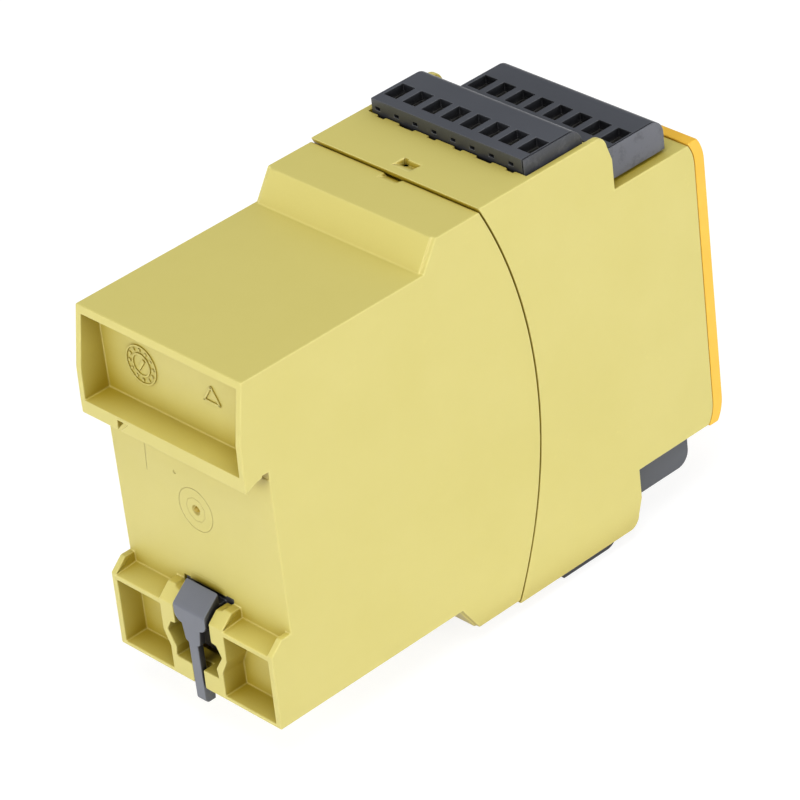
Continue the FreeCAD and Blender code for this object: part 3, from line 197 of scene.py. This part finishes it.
class Nodes:
    """Short way to write a node tree."""

    def __init__(self, name):
        self.material = bpy.data.materials.new(name)
        self.material.use_nodes = True
        self.tree = self.material.node_tree
        self.tree.nodes.clear()
        self.out = self.tree.nodes.new("ShaderNodeOutputMaterial")

    def add(self, kind, **inputs):
        """Node of one kind, with its inputs set to values or linked to sockets."""
        node = self.tree.nodes.new(f"ShaderNode{kind}")
        for key, value in inputs.items():
            socket = node.inputs[key.replace("_", " ")]
            if isinstance(value, bpy.types.NodeSocket):
                self.tree.links.new(value, socket)
            else:
                socket.default_value = value
        return node

    def noise(self, coordinates, scale, detail, roughness):
        node = self.add("TexNoise", Vector=coordinates, Scale=scale, Detail=detail,
                        Roughness=roughness)
        return node.outputs["Fac"]

    def remap(self, value, low, high, to_low, to_high):
        """Value stretched from one range to another and held inside it."""
        node = self.tree.nodes.new("ShaderNodeMapRange")
        self.tree.links.new(value, node.inputs["Value"])
        for key, number in (("From Min", low), ("From Max", high), ("To Min", to_low),
                            ("To Max", to_high)):
            node.inputs[key].default_value = number
        return node.outputs["Result"]

    def mix(self, factor, first, second):
        """Colour between two colours."""
        node = self.tree.nodes.new("ShaderNodeMix")
        node.data_type = "RGBA"
        for index, value in ((0, factor), (6, first), (7, second)):
            if isinstance(value, bpy.types.NodeSocket):
                self.tree.links.new(value, node.inputs[index])
            else:
                node.inputs[index].default_value = value
        return node.outputs[2]


def moulded_plastic(name, colour, shade, roughness=0.5, grain=0.05, spec=0.4, recess_shade=None,
                    edge_highlight=0.0, scuffed=None):
    """Spark-eroded moulded plastic: faint flow clouds, fine grain, a painted highlight along
    rounded edges, painted shade in recesses and, where asked, scuffed patches."""
    n = Nodes(name)
    place = n.add("TexCoord").outputs["Object"]
    clouds = n.noise(place, 45.0, 4.0, 0.55)
    fine = n.noise(place, 2600.0, 2.0, 0.6)
    dust = n.noise(place, 420.0, 5.0, 0.7)
    base = n.mix(n.remap(clouds, 0.35, 0.65, 0.0, 1.0), colour, shade)
    speck = n.remap(dust, 0.62, 0.8, 0.0, 0.12)
    paler = tuple(min(1.0, c * 1.25 + 0.02) for c in colour[:3]) + (1.0,)
    base = n.mix(speck, base, paler)
    if scuffed:
        patches = n.noise(place, 330.0, 8.0, 0.75)
        base = n.mix(n.remap(patches, 0.5, 0.6, 0.0, 0.8), base, scuffed)
    # painted shade: where ambient occlusion finds a recess, the colour is darkened towards a given
    # shade colour
    if recess_shade:
        shade_occlusion = n.add("AmbientOcclusion", Distance=0.011)
        shade_occlusion.samples = 8
        base = n.mix(n.remap(shade_occlusion.outputs["AO"], 0.92, 0.35, 0.0, 1.0), base, recess_shade)
    bevel = n.add("Bevel", Radius=0.00022)
    bevel.samples = 4
    # painted highlight: the colour turns paler where the bevel's rounded normal leaves the true
    # face, along every rounded edge
    if edge_highlight:
        turned = n.tree.nodes.new("ShaderNodeVectorMath")
        turned.operation = "DOT_PRODUCT"
        n.tree.links.new(bevel.outputs["Normal"], turned.inputs[0])
        n.tree.links.new(n.add("NewGeometry").outputs["True Normal"], turned.inputs[1])
        edge = tuple(min(1.0, c * 1.15 + 0.12) for c in colour[:3]) + (1.0,)
        base = n.mix(n.remap(turned.outputs["Value"], 0.99, 0.88, 0.0, edge_highlight), base, edge)
    rough = n.remap(clouds, 0.3, 0.7, roughness - 0.05, roughness + 0.05)
    bump = n.add("Bump", Strength=grain, Distance=0.0001, Height=fine,
                 Normal=bevel.outputs["Normal"])
    shader = n.add("BsdfPrincipled", Base_Color=base, Roughness=rough, Normal=bump.outputs["Normal"])
    shader.inputs["Specular IOR Level"].default_value = spec
    n.tree.links.new(shader.outputs["BSDF"], n.out.inputs["Surface"])
    return n.material


def metal(name, colour, roughness):
    """Plated sheet or turned metal with faint streaks."""
    n = Nodes(name)
    place = n.add("TexCoord").outputs["Object"]
    cloud = n.noise(place, 300.0, 4.0, 0.6)
    streak = n.noise(place, 2200.0, 2.0, 0.5)
    darker = tuple(c * 0.8 for c in colour[:3]) + (1.0,)
    base = n.mix(n.remap(cloud, 0.35, 0.65, 0.0, 1.0), colour, darker)
    rough = n.remap(cloud, 0.3, 0.7, roughness - 0.06, roughness + 0.08)
    bump = n.add("Bump", Strength=0.08, Distance=0.00005, Height=streak)
    shader = n.add("BsdfPrincipled", Base_Color=base, Roughness=rough, Normal=bump.outputs["Normal"])
    shader.inputs["Metallic"].default_value = 1.0
    n.tree.links.new(shader.outputs["BSDF"], n.out.inputs["Surface"])
    return n.material


def clear_resin(name, colour):
    """Clear moulded resin with a slightly uneven surface."""
    n = Nodes(name)
    place = n.add("TexCoord").outputs["Object"]
    cloud = n.noise(place, 900.0, 3.0, 0.5)
    base = n.mix(n.remap(cloud, 0.4, 0.6, 0.0, 0.5), colour, (0.6, 0.62, 0.6, 1.0))
    rough = n.remap(cloud, 0.3, 0.7, 0.12, 0.22)
    shader = n.add("BsdfPrincipled", Base_Color=base, Roughness=rough)
    shader.inputs["Transmission Weight"].default_value = 0.35
    shader.inputs["IOR"].default_value = 1.5
    n.tree.links.new(shader.outputs["BSDF"], n.out.inputs["Surface"])
    return n.material


# the third colour given to the yellow, plug and latch plastics is painted shade for their recesses
YELLOW = moulded_plastic("yellow_plastic", srgb(218, 206, 118), srgb(216, 204, 115), 0.45,
                         # the edge strength given to these plastics is a painted highlight on their
                         # rounded edges
                         spec=0.75, recess_shade=srgb(172, 150, 34), edge_highlight=0.7)
ORANGE = moulded_plastic("orange_plastic", srgb(255, 204, 74), srgb(252, 197, 67), 0.42)
GATE = moulded_plastic("gate_plastic", srgb(196, 168, 48), srgb(176, 146, 36), 0.35, 0.3, 0.6)
PLUG = moulded_plastic("plug_plastic", srgb(82, 85, 92), srgb(77, 80, 87), 0.36, 0.08, 0.5,
                       recess_shade=srgb(26, 27, 30), edge_highlight=0.35)
PLUG_DARK = moulded_plastic("plate_dark_plastic", srgb(66, 68, 74), srgb(58, 60, 66), 0.45, 0.08,
                            0.4, edge_highlight=0.35, scuffed=srgb(84, 86, 92))
PLATE = moulded_plastic("plate_plastic", srgb(106, 108, 116), srgb(98, 100, 108), 0.45, 0.1, 0.5,
                        edge_highlight=0.4, scuffed=srgb(82, 84, 90))
LATCH = moulded_plastic("latch_plastic", srgb(121, 124, 133), srgb(113, 116, 125), 0.36, 0.06, 0.5,
                        recess_shade=srgb(24, 24, 27), edge_highlight=0.5)
BLACK = moulded_plastic("header_plastic", srgb(42, 42, 44), srgb(34, 34, 36), 0.5)
BOARD = moulded_plastic("board_lacquer", srgb(30, 92, 52), srgb(24, 78, 44), 0.35)
RELAY = moulded_plastic("relay_case", srgb(52, 54, 58), srgb(44, 46, 50), 0.4)
CAPACITOR = moulded_plastic("capacitor_sleeve", srgb(36, 40, 60), srgb(30, 34, 52), 0.3)
STEEL = metal("plated_steel", (0.62, 0.61, 0.58, 1.0), 0.32)
TIN = metal("tinned_copper", (0.72, 0.68, 0.58, 1.0), 0.3)
CORE = metal("core_sheet", (0.2, 0.2, 0.21, 1.0), 0.5)
COPPER = metal("enamelled_wire", (0.62, 0.27, 0.1, 1.0), 0.3)
CLEAR = clear_resin("clear_resin", (0.75, 0.8, 0.72, 1.0))

MATERIALS = (
    ("rear_housing", YELLOW), ("front_housing", YELLOW), ("front_cover", ORANGE),
    ("rail_latch", LATCH), ("plug_end_plate", PLATE), ("plug_", PLUG),
    ("terminal_screws", STEEL), ("wire_clamps", STEEL), ("contact_sleeves", TIN),
    ("pin_header", BLACK), ("header_pins", TIN), ("board_link", TIN),
    ("rear_terminal_board", BOARD), ("front_terminal_board", BOARD), ("main_board", BOARD),
    ("indicator_board", BOARD), ("guided_relay", RELAY), ("transformer_core", CORE),
    ("transformer_winding", COPPER), ("capacitors", CAPACITOR), ("status_indicators", CLEAR),
    ("indicator_lenses", CLEAR),
)


def dress_cad():
    """Material on every CAD node, by the first name in the table that it starts with."""
    for name, node in frame["nodes"].items():
        material = next(value for start, value in MATERIALS if name.startswith(start))
        for slot in node.material_slots:
            slot.material = material


def add_piece(name, bm, node, material, replace=True):
    """Object made from a bmesh, riding with a CAD node and finished like it."""
    for face in bm.faces:
        face.smooth = True
    for edge in bm.edges:
        edge.smooth = edge.is_manifold and edge.calc_face_angle(0) < math.radians(SHARP_ABOVE)
    mesh = bpy.data.meshes.new(name)
    bm.to_mesh(mesh)
    bm.free()
    mesh.materials.append(material)
    piece = bpy.data.objects.new(name, mesh)
    bpy.context.scene.collection.objects.link(piece)
    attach(piece, body_of(frame["nodes"][node])[0])
    if replace:
        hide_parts(node)
    return piece


def make_whole(bm):
    """Merge doubled corners and join the pieces of flat faces."""
    bmesh.ops.remove_doubles(bm, verts=bm.verts, dist=MERGE_DISTANCE)
    bmesh.ops.dissolve_limit(bm, angle_limit=math.radians(FLAT_LIMIT), verts=bm.verts,
                             edges=bm.edges)


def clean_copy(node):
    """The node's mesh with its flat faces whole again."""
    bm = bmesh.new()
    bm.from_mesh(frame["nodes"][node].data)
    make_whole(bm)
    return bm


def cut_away(bm, cutter):
    """Subtract one closed mesh from another."""
    objects = []
    for name, source in (("cut_target", bm), ("cut_tool", cutter)):
        mesh = bpy.data.meshes.new(name)
        source.to_mesh(mesh)
        source.free()
        objects.append(bpy.data.objects.new(name, mesh))
        bpy.context.scene.collection.objects.link(objects[-1])
    target, tool = objects
    modifier = target.modifiers.new("cut", "BOOLEAN")
    modifier.operation = "DIFFERENCE"
    modifier.solver = "EXACT"
    modifier.object = tool
    graph = bpy.context.evaluated_depsgraph_get()
    result = bmesh.new()
    result.from_mesh(target.evaluated_get(graph).to_mesh())
    for item in objects:
        mesh = item.data
        bpy.data.objects.remove(item)
        bpy.data.meshes.remove(mesh)
    return result


def round_edges(bm, width):
    """Round every clear edge by a width (mm)."""
    edges = [edge for edge in bm.edges
             if edge.is_manifold and edge.calc_face_angle(0) > math.radians(ROUNDED_ABOVE)]
    bmesh.ops.bevel(bm, geom=edges, offset=width * MM, offset_type="OFFSET", segments=2, profile=0.5,
                    affect="EDGES", clamp_overlap=False)


def weigh_normals(piece):
    """Rounds shade smoothly and flat faces stay flat."""
    modifier = piece.modifiers.new("normals", "WEIGHTED_NORMAL")
    modifier.mode = "FACE_AREA"
    modifier.weight = 80
    modifier.keep_sharp = True


def rod(bm, start, axis, radius, length, sides=40, radius_far=None):
    """Closed cylinder or cone along an axis, from start (mm)."""
    direction = Vector(axis).normalized()
    turn = direction.to_track_quat("Z", "Y").to_matrix().to_4x4()
    matrix = Matrix.Translation((Vector(start) + direction * length / 2) * MM) @ turn
    far = radius if radius_far is None else radius_far
    return bmesh.ops.create_cone(bm, cap_ends=True, segments=sides, radius1=radius * MM,
                                 radius2=far * MM, depth=length * MM, matrix=matrix)["verts"]


def brick(bm, low, high):
    """Closed box between two corners (mm)."""
    size = [b - a for a, b in zip(low, high)]
    middle = [(a + b) / 2 for a, b in zip(low, high)]
    matrix = Matrix.Translation(Vector(middle) * MM) @ Matrix.Diagonal((*[s * MM for s in size], 1))
    return bmesh.ops.create_cube(bm, size=1.0, matrix=matrix)["verts"]


def ribbon(bm, path, width, low_y, high_y):
    """Closed band that follows a path of (x, z) at a depth between two y values (mm)."""
    sides = []
    for index, point in enumerate(path):
        before = Vector(path[max(index - 1, 0)])
        after = Vector(path[min(index + 1, len(path) - 1)])
        along = (after - before).normalized()
        across = Vector((-along.y, along.x)) * width / 2
        sides.append((Vector(point) + across, Vector(point) - across))
    rings = []
    for left, right in sides:
        rings.append([bm.verts.new(Vector((x, y, z)) * MM) for (x, z), y in
                      ((left, low_y), (right, low_y), (right, high_y), (left, high_y))])
    for first, second in zip(rings, rings[1:]):
        for a in range(4):
            b = (a + 1) % 4
            bm.faces.new((first[a], first[b], second[b], second[a]))
    bm.faces.new(reversed(rings[0]))
    bm.faces.new(rings[-1])
    bmesh.ops.recalc_face_normals(bm, faces=bm.faces)


def ring(bm, x, z, radius, width, low_y, high_y, sides=64):
    """Flat closed ring about the y axis (mm)."""
    loops = []
    for r, y in ((radius - width / 2, low_y), (radius + width / 2, low_y),
                 (radius + width / 2, high_y), (radius - width / 2, high_y)):
        loops.append([bm.verts.new(Vector((x + r * math.cos(math.tau * i / sides), y,
                                           z + r * math.sin(math.tau * i / sides))) * MM)
                      for i in range(sides)])
    for a in range(4):
        b = (a + 1) % 4
        for i in range(sides):
            j = (i + 1) % sides
            bm.faces.new((loops[a][i], loops[a][j], loops[b][j], loops[b][i]))
    bmesh.ops.recalc_face_normals(bm, faces=bm.faces)


def build_shells():
    """Shells, cover and latch with rounded edges; the rear one with its moulding marks."""
    bm = clean_copy("rear_housing")
    round_edges(bm, SHELL_ROUND)
    # sunk into the rail seat: two rings and a dimple at the gate, an ejector's dot, a fine line
    marks = bmesh.new()
    gate_x = 0.2
    gate_z = 0.3
    above = 0.5
    ring(marks, gate_x, gate_z, 4.6, 0.16, -0.1, above)
    ring(marks, gate_x, gate_z, 2.6, 0.14, -0.06, above, 9)
    rod(marks, (gate_x, -0.4, 0.2), (0, 1, 0), 0.8, 0.8, 16, radius_far=1.5)
    rod(marks, (4.9, -0.12, 6.8), (0, 1, 0), 0.45, 0.6, 24)
    ribbon(marks, [(12.5, 12.2), (13.1, 4.0)], 0.14, -0.08, above)
    bm = cut_away(bm, marks)
    weigh_normals(add_piece("rear_shell", bm, "rear_housing", YELLOW))

    bm = clean_copy("front_housing")
    round_edges(bm, SHELL_ROUND)
    # deep corner of the snap window, above and below
    low, high = (Vector(corner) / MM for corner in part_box("front_housing"))
    window = high.y - SNAP_OFFSET - SNAP_LENGTH
    holes = bmesh.new()
    for sign in (1, -1):
        outer = RISE + sign * (high.z - low.z) / 2
        near, far = sorted((outer, outer - sign * SNAP_HOLE_DEPTH))
        brick(holes, (1.1, window + 0.05, near), (2.25, window + 1.5, far))
    bm = cut_away(bm, holes)
    weigh_normals(add_piece("front_shell", bm, "front_housing", YELLOW))

    bm = clean_copy("front_cover")
    round_edges(bm, COVER_ROUND)
    weigh_normals(add_piece("cover", bm, "front_cover", ORANGE))

    bm = clean_copy("rail_latch")
    round_edges(bm, LATCH_ROUND)
    weigh_normals(add_piece("latch", bm, "rail_latch", LATCH))

    # wall above the latch's head, flush with the rail seat
    bm = bmesh.new()
    guide_half = 4.95
    brick(bm, (-guide_half, -1.5, -17.9 + RISE), (guide_half, 0.01, -16.15 + RISE))
    add_piece("guide_cover", bm, "rear_housing", YELLOW, replace=False)

    # rough stub that is left in the gate's dimple
    bm = bmesh.new()
    stub = Vector((gate_x, -0.42, 0.2))
    bmesh.ops.create_icosphere(bm, subdivisions=3, radius=0.62 * MM,
                               matrix=Matrix.Translation(stub * MM))
    for index, vertex in enumerate(bm.verts):
        vertex.co += vertex.normal * 0.07 * MM * math.sin(index * 2.4)
    add_piece("gate_stub", bm, "rear_housing", GATE, replace=False)


def build_pocket_marks():
    """Plain ring and triangle, raised from the back of the pocket above the hook."""
    bm = bmesh.new()
    root = POCKET_BACK - MARK_ROOT
    top = POCKET_BACK + MARK_HEIGHT
    middle = Vector((10.3, 26.9 + RISE))
    for radius in (4.0, 2.3):
        ring(bm, middle.x, middle.y, radius, 0.3, root, top)
    ticks = 12
    for index in range(ticks):
        turn = math.tau * index / ticks
        along = Vector((math.cos(turn), math.sin(turn)))
        ribbon(bm, [middle + along * 2.9, middle + along * 3.5], 0.5, root, top)
    hand = Vector((0.9, -1.2))
    ribbon(bm, [middle + hand, middle - hand], 0.7, root, top)
    corners = [Vector((x, z + RISE)) for x, z in ((-11.1, 26.2), (-6.8, 26.2), (-9.1, 29.6))]
    for index, start in enumerate(corners):
        ribbon(bm, [start, corners[(index + 1) % len(corners)]], 0.45, root, top)
    add_piece("pocket_marks", bm, "rear_housing", YELLOW, replace=False)


def build_seam_lips():
    """Tongue of the front shell that closes the seam from the inside."""
    low, high = (Vector(corner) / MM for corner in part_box("rear_housing"))
    half_x = high.x - 1.4
    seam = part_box("front_housing")[1].y / MM - 0.3
    half_z = (high.z - low.z) / 2 - 1.5
    bm = bmesh.new()
    for sign in (1, -1):
        near = RISE + sign * (half_z - 0.1)
        far = RISE + sign * (half_z - 1.0)
        brick(bm, (-half_x + 0.1, seam - 2.0, min(near, far)),
              (half_x - 0.1, seam + 2.4, max(near, far)))
    add_piece("seam_tongue", bm, "front_housing", YELLOW, replace=False)


def build_plug(place):
    """Plug with round screw wells, its end plate, and slotted screws with round heads."""
    sign = 1 if place.startswith("top") else -1
    low, high = (Vector(corner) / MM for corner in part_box(f"terminal_screws_{place}"))
    pitch = (high.x - low.x - (high.z - low.z)) / (POLES - 1)
    radius = (high.z - low.z) / 2
    first = low.x + radius
    height = (high.z + low.z) / 2
    front = low.y
    plug_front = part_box(f"plug_{place}")[0].y / MM

    bm = clean_copy(f"plug_{place}")
    wells = bmesh.new()
    lead = 1
    for index in range(POLES):
        rod(wells, (first + index * pitch, plug_front - lead, height), (0, 1, 0),
            (radius + WELL_GAP) * WELL_WIDENING, lead + SCREW_SINK + HEAD_HEIGHT + 0.01)
    bm = cut_away(bm, wells)
    make_whole(bm)
    round_edges(bm, PLUG_ROUND)
    weigh_normals(add_piece(f"plug_block_{place}", bm, f"plug_{place}", PLUG))

    bm = clean_copy(f"plug_end_plate_{place}")
    joint_x = (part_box(f"plug_end_plate_{place}")[1 if sign > 0 else 0]).x
    for vertex in bm.verts:
        if abs(vertex.co.x - joint_x) < 0.01 * MM:
            vertex.co.x -= sign * PLATE_JOINT * MM
    round_edges(bm, PLATE_ROUND)
    plate = PLATE if "front" in place else PLUG_DARK
    weigh_normals(add_piece(f"end_plate_{place}", bm, f"plug_end_plate_{place}", plate))

    bm = bmesh.new()
    for index in range(POLES):
        x = first + index * pitch
        rod(bm, (x, front + HEAD_BEVEL, height), (0, 1, 0), radius, HEAD_HEIGHT - HEAD_BEVEL)
        rod(bm, (x, front, height), (0, 1, 0), radius - HEAD_BEVEL, HEAD_BEVEL,
            radius_far=radius)
        rod(bm, (x, front + HEAD_HEIGHT, height), (0, 1, 0), SHANK_RADIUS,
            high.y - front - HEAD_HEIGHT, 24)
    slots = bmesh.new()
    for index in range(POLES):
        x = first + index * pitch
        tilt = math.radians(FIRST_TURN + NEXT_TURN * index * sign)
        verts = brick(slots, (x - radius - 1, front - 0.5, height - SLOT_HALF),
                      (x + radius + 1, front + SLOT_DEPTH, height + SLOT_HALF))
        bmesh.ops.rotate(slots, cent=Vector((x, front, height)) * MM,
                         matrix=Matrix.Rotation(tilt, 3, "Y"), verts=verts)
    bmesh.ops.remove_doubles(bm, verts=bm.verts, dist=MERGE_DISTANCE)
    bm = cut_away(bm, slots)
    weigh_normals(add_piece(f"screws_{place}", bm, f"terminal_screws_{place}", STEEL))


def build_lenses():
    """Clear domed lenses over the indicators."""
    low, high = (Vector(corner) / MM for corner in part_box("indicator_lenses"))
    radius = (high.z - low.z) / 2
    spacing = (high.x - low.x) / 2 - radius
    height = (low.z + high.z) / 2
    profile = [(radius, high.y)]
    for step in range(LENS_STEPS):
        turn = math.pi / 2 * step / LENS_STEPS
        profile.append((radius * math.cos(turn), low.y + LENS_DOME * (1 - math.sin(turn))))
    bm = bmesh.new()
    for index in (-1, 0, 1):
        x = (low.x + high.x) / 2 + index * spacing
        rings = []
        for r, y in profile:
            loop = []
            for i in range(LENS_SIDES):
                turn = math.tau * i / LENS_SIDES
                point = Vector((x + r * math.cos(turn), y, height + r * math.sin(turn)))
                loop.append(bm.verts.new(point * MM))
            rings.append(loop)
        for first, second in zip(rings, rings[1:]):
            for i in range(LENS_SIDES):
                j = (i + 1) % LENS_SIDES
                bm.faces.new((first[i], first[j], second[j], second[i]))
        bm.faces.new(rings[0])
        bm.faces.new(rings[-1])
    bmesh.ops.recalc_face_normals(bm, faces=bm.faces)
    add_piece("lenses", bm, "indicator_lenses", CLEAR)


# ------------------------------------------------------------------------------------------
# Stage
# ------------------------------------------------------------------------------------------
def make_stage():
    """Pale floor under the object: white to the camera, and it keeps the object's shadow."""
    low = min(corner[2] for corner in cad_box) - FLOOR_DROP
    mesh = bpy.data.meshes.new("floor")
    corners = ((-1, -1), (1, -1), (1, 1), (-1, 1))
    mesh.from_pydata([(x * FLOOR_HALF, y * FLOOR_HALF, low) for x, y in corners], [],
                     [(0, 1, 2, 3)])
    floor = bpy.data.objects.new("floor", mesh)
    bpy.context.scene.collection.objects.link(floor)
    n = Nodes("floor_paper")
    rays = n.add("LightPath")
    diffuse = n.add("BsdfDiffuse", Color=(0.9, 0.9, 0.9, 1.0))
    white = n.add("Emission", Color=(1, 1, 1, 1), Strength=0.86)
    seen = n.tree.nodes.new("ShaderNodeMath")
    seen.operation = "MAXIMUM"
    n.tree.links.new(rays.outputs["Is Camera Ray"], seen.inputs[0])
    n.tree.links.new(rays.outputs["Is Glossy Ray"], seen.inputs[1])
    shadowed = n.add("BsdfDiffuse", Color=(0.25, 0.25, 0.25, 1.0))
    glowing = n.tree.nodes.new("ShaderNodeAddShader")
    n.tree.links.new(shadowed.outputs["BSDF"], glowing.inputs[0])
    n.tree.links.new(white.outputs["Emission"], glowing.inputs[1])
    mixed = n.add("MixShader", Fac=seen.outputs[0])
    n.tree.links.new(diffuse.outputs["BSDF"], mixed.inputs[1])
    n.tree.links.new(glowing.outputs["Shader"], mixed.inputs[2])
    n.tree.links.new(mixed.outputs["Shader"], n.out.inputs["Surface"])
    floor.data.materials.append(n.material)


def area_light(name, place, size, power):
    """Square soft light that faces the object."""
    data = bpy.data.lights.new(name, "AREA")
    data.size = size
    data.energy = power
    light = bpy.data.objects.new(name, data)
    bpy.context.scene.collection.objects.link(light)
    light.location = place
    aim = Vector(LIGHT_TARGET) - Vector(place)
    light.rotation_euler = aim.to_track_quat("-Z", "Y").to_euler()


def make_light():
    """Dim even surroundings that the camera sees as white, and the studio lights."""
    world = bpy.data.worlds.new("world")
    bpy.context.scene.world = world
    world.use_nodes = True
    tree = world.node_tree
    tree.nodes.clear()
    out = tree.nodes.new("ShaderNodeOutputWorld")
    background = tree.nodes.new("ShaderNodeBackground")
    background.inputs["Color"].default_value = (1, 1, 1, 1)
    background.inputs["Strength"].default_value = 0.15
    white = tree.nodes.new("ShaderNodeBackground")
    white.inputs["Strength"].default_value = 1.0
    white.inputs["Color"].default_value = (1, 1, 1, 1)
    rays = tree.nodes.new("ShaderNodeLightPath")
    mixed = tree.nodes.new("ShaderNodeMixShader")
    tree.links.new(rays.outputs["Is Camera Ray"], mixed.inputs[0])
    tree.links.new(background.outputs[0], mixed.inputs[1])
    tree.links.new(white.outputs[0], mixed.inputs[2])
    tree.links.new(mixed.outputs[0], out.inputs["Surface"])
    for light in LIGHTS:
        area_light(*light)


bpy.context.scene.view_settings.view_transform = "Standard"
make_camera()
dress_cad()
build_shells()
build_pocket_marks()
build_seam_lips()
for spot in ("top_rear", "top_front", "bottom_rear", "bottom_front"):
    build_plug(spot)
build_lenses()
make_stage()
make_light()
